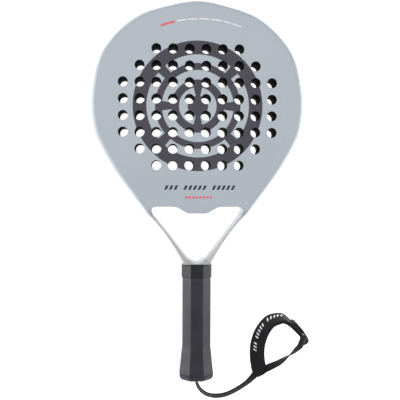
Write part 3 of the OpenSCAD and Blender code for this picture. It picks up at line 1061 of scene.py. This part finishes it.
class RACKET_OT_stage(bpy.types.Operator):
    """Makes the camera, the pale table and the soft lights"""
    bl_idname = "racket.make_stage"
    bl_label = "Stage"

    def execute(self, context):
        settings = context.scene.racket_stage
        data = bpy.data.cameras.new("Camera")
        data.lens = settings.lens
        data.sensor_width = 36.0
        camera = bpy.data.objects.new("Camera", data)
        camera.location = (settings.camera_x, settings.camera_y, settings.camera_height)
        camera.rotation_euler = Euler([math.radians(turn) for turn in CAMERA_TURNS])
        context.scene.collection.objects.link(camera)
        context.scene.camera = camera
        side = settings.floor_size / 2
        mesh = bpy.data.meshes.new("Table")
        corners = [(-side, -side, 0), (side, -side, 0), (side, side, 0), (-side, side, 0)]
        mesh.from_pydata(corners, [], [(0, 1, 2, 3)])
        finish = Finish("Table surface", roughness=0.9, specular=0.1, patch_scale=3.0)
        finish.colour(finish.mottled((0.93, 0.93, 0.935), (0.91, 0.91, 0.915), 0.3))
        finish.shader.inputs["Emission Color"].default_value = (1.0, 1.0, 1.0, 1.0)
        finish.shader.inputs["Emission Strength"].default_value = 1.0
        mesh.materials.append(finish.material)
        table = bpy.data.objects.new("Table", mesh)
        table.location.z = -0.2 * MM
        context.scene.collection.objects.link(table)
        for name, place, size, power in LAMPS:
            lamp(name, place, size, power)
        world = bpy.data.worlds.new("Studio")
        world.use_nodes = True
        sky = world.node_tree.nodes["Background"]
        sky.inputs["Color"].default_value = (0.95, 0.97, 1.0, 1.0)
        sky.inputs["Strength"].default_value = 0.30
        context.scene.world = world
        context.scene.view_settings.view_transform = "Standard"
        return {"FINISHED"}


class RACKET_OT_strap_webbing(bpy.types.Operator):
    """Makes the strap's webbing: the tail out of the handle and the return from the wrist band"""
    bl_idname = "racket.make_strap_webbing"
    bl_label = "Strap webbing"

    def execute(self, context):
        strap = context.scene.racket_strap
        section = band_section(strap.webbing_width, strap.webbing_thickness)
        for name, band, node in (("tail_webbing", tail_band(), "strap_tail"),
                                 ("return_webbing", return_band(), "strap_return")):
            piece = loft(name, band_rings(band, section), webbing_cloth(), "strap", sharp=50.0)
            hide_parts(node)
        return {"FINISHED"}


class RACKET_OT_wrist_band(bpy.types.Operator):
    """Makes the padded wrist band with its lining, bound edges, stitches and print"""
    bl_idname = "racket.make_wrist_band"
    bl_label = "Wrist band"

    def execute(self, context):
        strap = context.scene.racket_strap
        band = wrist_band()
        scale = rounded_at(band, (4.0 * MM, 0.88), (9.0 * MM, 0.68), 0.9)
        inner, layer = strap.pad_width - 3.2 * MM, strap.pad_thickness / 2
        crown = 0.35 * MM
        knit = cloth_finish("Pad knit", strap.pad_black, 0.55 * MM, 0.55 * MM, bump=0.3, sheen=0.25)
        lining = cloth_finish("Pad lining cloth", (0.020, 0.020, 0.024), 0.8 * MM, 0.8 * MM,
                              bump=0.5, sheen=0.3)
        deep = layer - 0.5 * MM
        rings = band_rings(band, band_section(inner, deep, crown), layer / 2, scale)
        pad = loft("wrist_pad_knit", rings, knit, "strap", sharp=50.0)
        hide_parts("wrist_pad")
        rings = band_rings(band, band_section(inner, deep), -layer / 2, scale)
        back = loft("wrist_pad_lining", rings, lining, "strap", sharp=50.0)
        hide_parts("pad_lining")
        self.bound_edges(band, layer, scale)
        self.print_on(band, inner, layer, crown)
        return {"FINISHED"}

    def bound_edges(self, band, layer, scale):
        """The tape sewn round both edges, with a row of stitches beside each."""
        strap = bpy.context.scene.racket_strap
        tape = cloth_finish("Binding tape", tone(strap.black, 0.8), 0.7 * MM, 0.9 * MM, bump=0.6)
        bead = 1.1 * MM
        reach = strap.pad_width / 2 - bead
        margin, length, pitch = 9.0 * MM, 1.7 * MM, 2.6 * MM
        sides, stitches = [], []
        for side in (-1, 1):
            rings = []
            for i in range(len(band.middles)):
                wide, deep = scale(i)
                rings.append([band.point(i, side * reach * wide + bead * math.cos(turn),
                                         layer * 0.95 * deep * math.sin(turn))
                              for turn in (math.pi * k / 8 for k in range(16))])
            sides.append(rings)
            row, height = side * (reach - 1.7 * MM), layer - 0.12 * MM
            distance = margin
            while distance < band.length() - margin:
                start, end = band.at(distance, row, height), band.at(distance + length, row, height)
                out = band.at(distance, 0, 1.0) - band.at(distance, 0, 0.0)
                stitches.append(thread(start, end, out.normalized(), 0.22 * MM))
                distance += pitch
        binding = lofts("pad_edge_binding", sides, tape, "strap", sharp=60.0)
        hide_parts("pad_binding")
        sewing = lofts("pad_stitches", stitches, thread_cloth(), "strap", sharp=80.0)

    def print_on(self, band, inner, layer, crown):
        """A row of slanted bars on the wrist band's outer side."""
        verts, faces = [], []
        steps, half_high, half_wide, lean = 4, 1.9 * MM, 0.85 * MM, 0.8 * MM
        for k in range(BAR_COUNT):
            if k in BARS_LEFT_OUT:
                continue
            middle = 28.0 * MM + k * 4.0 * MM
            first = len(verts)
            for i in range(steps + 1):
                share = 2 * i / steps - 1
                side = 3.0 * MM + half_high * share
                lift = layer - 0.25 * MM + crown * (1 - (2 * side / inner) ** 2) + 0.06 * MM
                for edge in (-half_wide, half_wide):
                    verts.append(band.at(middle + edge + lean * share, side, lift))
            for a in range(first, first + 2 * steps, 2):
                faces.append((a, a + 1, a + 3, a + 2))
        piece = new_piece("wrist_pad_print", verts, faces, [white_ink()], "strap")


class RACKET_OT_fastening(bpy.types.Operator):
    """Makes the fastening tab with its loop and hook patches, and the end piece with its bar tacks"""
    bl_idname = "racket.make_fastening"
    bl_label = "Tab and end piece"

    def execute(self, context):
        strap = context.scene.racket_strap
        band, tab = wrist_band(), tab_band()
        patch = 0.8 * MM
        loop_lift = strap.pad_thickness / 2 + 0.1 * MM + patch / 2
        hook_lift = loop_lift + patch + 0.35 * MM
        tab_lift = hook_lift + patch / 2 + 0.1 * MM + strap.tab_thickness / 2
        pile = cloth_finish("Loop pile", (0.014, 0.014, 0.016), 0.5 * MM, 0.5 * MM, bump=0.9, sheen=0.5)
        hooks = cloth_finish("Hook strip", (0.009, 0.009, 0.010), 0.9 * MM, 0.9 * MM, bump=0.9)
        last = len(band.middles) - 1
        section = band_section(strap.tab_width, patch)
        rings = band_rings(band, section, loop_lift, first=TAB_FIRST + 5, last=last)
        loops = loft("loop_strip", rings, pile, "strap", sharp=50.0)
        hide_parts("loop_patch")
        section = band_section(strap.tab_width - 2 * MM, patch)
        rings = band_rings(tab, section, hook_lift, first=6, last=last - TAB_FIRST)
        hook = loft("hook_strip", rings, hooks, "tab", sharp=50.0)
        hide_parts("hook_patch")
        scale = rounded_at(tab, (3.0 * MM, 0.9), (5.0 * MM, 0.42), 0.85)
        section = band_section(strap.tab_width, strap.tab_thickness)
        sewn = tab_lift - (strap.pad_thickness + strap.tab_thickness) / 2 - 0.15 * MM
        past, rise, dip = tab.along[last - TAB_FIRST], 5.0 * MM, 1.5 * MM
        sunk = [sewn * max(0.0, 1 - reach / rise) ** 2 + dip * min(1.0, max(0.0, reach - past) / rise)
                for reach in tab.along]
        rings = band_rings(tab, section, tab_lift, scale, sunk_at=sunk.__getitem__)
        flap = loft("fastening_flap", rings, webbing_cloth(), "tab", sharp=50.0)
        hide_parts("fastening_tab")
        keeper, tacks = self.keeper()
        self.declare_cord([flap, hook, keeper, tacks])
        return {"FINISHED"}

    def keeper(self):
        """The folded end piece between the tail and the wrist band, sewn through with two bar tacks."""
        corners = [Vector((x, y, 0)) * MM for x, y in END_PIECE]
        middle = sum(corners, Vector()) / len(corners)
        up, rings = Vector((0, 0, 1)), []
        for height, grown in END_PIECE_LEVELS:
            plan = [middle + (p - middle) * grown for p in corners]
            rings.append([p + up * height * MM for p in rounded_ring(plan, 1.6 * MM, 4)])
        keeper = loft("keeper_band", rings, webbing_cloth(), "strap", sharp=50.0)
        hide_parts("strap_keeper")
        rows, pitch, reach = [], 0.75, Vector((0.2, 0.7, 0)) * MM
        for y, count in ((-226.8, 12), (-229.2, 8)):
            for k in range(count):
                place = Vector((80.0 + (k - (count - 1) / 2) * pitch, y, END_PIECE_LEVELS[-1][0])) * MM
                rows.append(thread(place - reach, place + reach, up, 0.26 * MM))
        tacks = lofts("keeper_tacks", rows, thread_cloth(), "strap", sharp=80.0)
        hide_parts("bar_tacks")
        return keeper, tacks

    def declare_cord(self, fastening):
        """The tail carries the wrist band and everything sewn to it; this builds the tail's band and takes
        its length, and does nothing more.
        """
        tail = tail_band()
        tail.length()


class RACKET_OT_knot(bpy.types.Operator):
    """Makes the overhand knot that holds the strap inside the handle"""
    bl_idname = "racket.make_knot"
    bl_label = "Knot"

    def execute(self, context):
        strap = context.scene.racket_strap
        middle = Vector((0, -213.0 * MM, MID_Z))
        section = band_section(strap.webbing_width, strap.webbing_thickness, steps=6)
        stub = [[Vector((v, y * MM, MID_Z + u)) for u, v in section] for y in (-226.8, -224.0, -221.0)]
        steps, kept = 60, 57
        places = []
        for k in range(steps):
            t = 2 * math.pi * k / steps
            place = (math.sin(t) + 2 * math.sin(2 * t), math.cos(t) - 2 * math.cos(2 * t), -math.sin(3 * t))
            places.append(middle + Vector(place) * 1.55 * MM)
        rings = []
        for k, place in enumerate(places[:kept]):
            ahead = (places[(k + 1) % steps] - places[k - 1]).normalized()
            out = (place - middle).normalized()
            side = ahead.cross(out).normalized()
            rings.append([place + (side * 1.9 * math.cos(t) + side.cross(ahead) * 1.2 * math.sin(t)) * MM
                          for t in (math.pi * j / 6 for j in range(12))])
        knot = lofts("strap_end_knot", [stub, rings], webbing_cloth(), "racket", sharp=50.0)
        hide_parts("strap_knot")
        return {"FINISHED"}


class RACKET_OT_head(bpy.types.Operator):
    """Makes the tube round the head with its two arms, the bridge and the yoke"""
    bl_idname = "racket.make_head"
    bl_label = "Head and throat"

    def execute(self, context):
        line = tube_outline()
        rings = [tube_ring(p, n) for p, n in zip(line, plan_normals(line))]
        tube = loft("head_tube", rings, face_lacquer(), "racket", sharp=40.0)
        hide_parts("frame_tube")
        dress("throat_bridge", face_lacquer())
        yoke = rounded_copy("throat_yoke", "yoke", face_lacquer(), "racket", 1.4 * MM)
        dress("frame_foam", filler_foam_finish())
        return {"FINISHED"}


class RACKET_OT_faces(bpy.types.Operator):
    """Makes the drilled face sheets with their dark panels and printed shapes, over the foam core"""
    bl_idname = "racket.make_faces"
    bl_label = "Faces"

    def execute(self, context):
        head = context.scene.racket_head
        materials = [face_lacquer(), inlay_finish(), ink("Navy ink", (0.030, 0.045, 0.075)),
                     ink("Coral ink", head.coral), white_ink()]
        centre = Vector((INLAY_CENTRE.x, INLAY_CENTRE.y))
        plan = drilled_sheet()
        for word, outer_z, inward in (("front", FACE_Z, -1.0), ("back", BACK_Z, 1.0)):
            for node, slot, in_panel in (("skin", "face_paint", False), ("inlay", "dark_inlay", True)):
                verts, faces, slots = split_sheet(
                    plan, outer_z, inward, lambda p: ((p - centre).length < INLAY_RADIUS) == in_panel)
                name = word + "_" + node + "_sheet"
                piece = new_piece(name, verts, faces, materials, "racket", slots)
                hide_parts(word + "_" + node)
        dress("eva_core", core_foam_finish())
        return {"FINISHED"}


class RACKET_OT_handle(bpy.types.Operator):
    """Makes the ribbed collar, the facetted grip and the butt cap on the handle's shaft"""
    bl_idname = "racket.make_handle"
    bl_label = "Handle"

    def execute(self, context):
        handle = context.scene.racket_handle
        rubber = rubber_finish("Grip rubber", handle.grip_colour, 0.38, 0.62, 0.25)
        ribbed = rubber_finish("Collar rubber", tone(handle.grip_colour, 0.66), 0.34, 0.65, 0.2)
        capped = rubber_finish("Cap rubber", tone(handle.grip_colour, 1.45), 0.46, 0.5, 0.2)
        top = COLLAR_BOTTOM_Y - 0.1 * MM
        places = [(top, -0.9), (top - 0.3 * MM, -0.3), (top - 1.0 * MM, 0.0)]
        places += [(y, 0.0) for y in steps_between(top - 6 * MM, -186 * MM, 12)]
        places += [(y, flare_at(y) / MM) for y in steps_between(-189 * MM, PARTING_Y + 0.7 * MM, 16)]
        places += [(PARTING_Y + 0.2 * MM, flare_at(PARTING_Y) / MM - 0.15),
                   (PARTING_Y, flare_at(PARTING_Y) / MM - 0.5)]
        grip = self.handle_loft("grip_sleeve", places, 1.6 * MM, rubber)
        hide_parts("hand_grip")
        self.collar(ribbed)
        self.cap(capped)
        dress("handle_shaft", laminate_finish())
        dress("handle_foam", filler_foam_finish())
        return {"FINISHED"}

    def handle_loft(self, name, places, corner, material):
        """A piece round the handle through places, which are y in metres and the growth in mm."""
        rings = [handle_ring(y, extra * MM, corner) for y, extra in places]
        return loft(name, rings, material, "racket")

    def collar(self, material):
        """Six rubber ribs with grooves between them."""
        handle = bpy.context.scene.racket_handle
        ribs = 6
        width = (COLLAR_TOP_Y - COLLAR_BOTTOM_Y) / (2 * ribs - 1)
        proud = (handle.collar_width - handle.grip_width) / 2 / MM
        places = []
        for k in range(ribs):
            y = COLLAR_TOP_Y - 2 * k * width
            crest = proud - 0.2 + (0.0 if k else 0.2)
            places += [(y, proud - (1.4 if k else 0.9)), (y - 0.12 * MM, proud - 0.25),
                       (y - 0.35 * MM, crest), (y - width + 0.35 * MM, crest),
                       (y - width + 0.12 * MM, proud - 0.25), (y - width, proud - 1.4)]
        piece = self.handle_loft("ribbed_collar", places, 1.5 * MM, material)
        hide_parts("grip_collar")

    def cap(self, material):
        """The cap that closes the grip, with the slot that the strap comes out of."""
        top = PARTING_Y - 0.1 * MM
        places = [(top, flare_at(top) / MM - 0.5), (top - 0.25 * MM, flare_at(top) / MM - 0.1)]
        places += [(y, flare_at(y) / MM) for y in steps_between(top - 0.8 * MM, BUTT_Y + 1.1 * MM, 6)]
        places += [(y, flare_at(y) / MM) for y in steps_between(BUTT_Y + 0.8 * MM, BUTT_Y, 4)]
        cap = self.handle_loft("butt_end", places, 2.4 * MM, material)
        half, high = 1.6, 6.0
        corners = ((half, high, 0), (half, -high, 0), (-half, -high, 0), (-half, high, 0))
        plan = [Vector(corner) * MM for corner in corners]
        slot = [[Vector((p.x, y * MM, MID_Z + p.y)) for p in rounded_ring(plan, 1.4 * MM, 4)]
                for y in (-240, -223)]
        cut_away(cap, loft("cap_slot", slot, material, "racket"))
        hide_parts("butt_cap")


class RACKET_PT_panel(bpy.types.Panel):
    """Lists the racket's pieces in the order they are made"""
    bl_label = "Padel Racket"
    bl_idname = "RACKET_PT_panel"
    bl_space_type = "VIEW_3D"
    bl_region_type = "UI"
    bl_category = "Racket"

    def draw(self, context):
        for maker in MAKERS:
            self.layout.operator(maker.bl_idname)
        for name in SETTINGS:
            box = self.layout.box()
            settings = getattr(context.scene, name)
            for label in settings.__annotations__:
                box.prop(settings, label)


MAKERS = (
    RACKET_OT_stage, RACKET_OT_strap_webbing, RACKET_OT_wrist_band, RACKET_OT_fastening, RACKET_OT_knot,
    RACKET_OT_head, RACKET_OT_faces, RACKET_OT_handle,
)
SETTINGS = {
    "racket_stage": StageSettings, "racket_head": HeadSettings,
    "racket_handle": HandleSettings, "racket_strap": StrapSettings,
}


def register():
    for kind in (*SETTINGS.values(), *MAKERS, RACKET_PT_panel):
        bpy.utils.register_class(kind)
    for name, kind in SETTINGS.items():
        setattr(bpy.types.Scene, name, PointerProperty(type=kind))


def unregister():
    for name in SETTINGS:
        delattr(bpy.types.Scene, name)
    for kind in reversed((*SETTINGS.values(), *MAKERS, RACKET_PT_panel)):
        bpy.utils.unregister_class(kind)


def main():
    register()
    bpy.ops.racket.make_stage()
    bpy.ops.racket.make_strap_webbing()
    bpy.ops.racket.make_wrist_band()
    bpy.ops.racket.make_fastening()
    bpy.ops.racket.make_knot()
    bpy.ops.racket.make_head()
    bpy.ops.racket.make_faces()
    bpy.ops.racket.make_handle()


if __name__ == "__main__":
    main()
